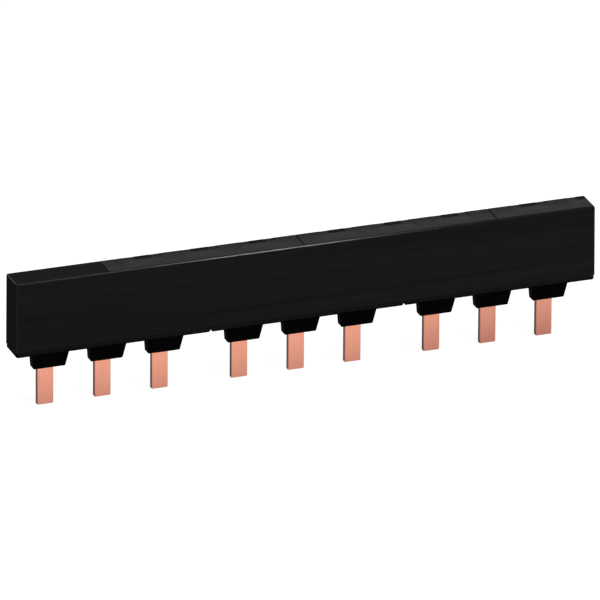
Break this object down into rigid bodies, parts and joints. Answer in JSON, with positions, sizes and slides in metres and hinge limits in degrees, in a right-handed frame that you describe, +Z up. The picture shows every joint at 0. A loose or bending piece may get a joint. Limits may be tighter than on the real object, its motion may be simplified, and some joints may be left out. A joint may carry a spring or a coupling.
{
  "type": "comb bus bar",
  "caption": "Comb bus bar: flat copper combs in a long black insulated housing, with bare tags hanging from moulded collars in groups, one group for each device.",
  "frame": {"origin": "middle of the bar's length and depth, at the level of the tips of the tags", "axes": "+X along the bar, to the right as seen from its front; +Y from the front to the rear, where the tags are; +Z up, away from the tags"},
  "size_m": [0.135, 0.0072, 0.0314],
  "materials": {
    "housing_plastic": "fine satin moulding",
    "strip_plastic": "matt spark-eroded texture",
    "base_plastic": "fine satin moulding",
    "separator_plastic": "smooth sheet",
    "copper": "bare drawn copper with fine lines along each tag"
  },
  "bodies": {
    "root": {"housing": "housing_plastic", "top_strip_1": "strip_plastic", "top_strip_2": "strip_plastic", "top_strip_3": "strip_plastic", "base_strip_1": "base_plastic", "base_strip_2": "base_plastic", "base_strip_3": "base_plastic", "comb_front": "copper", "comb_middle": "copper", "comb_rear": "copper", "separator_front": "separator_plastic", "separator_rear": "separator_plastic"}
  },
  "joints": []
}
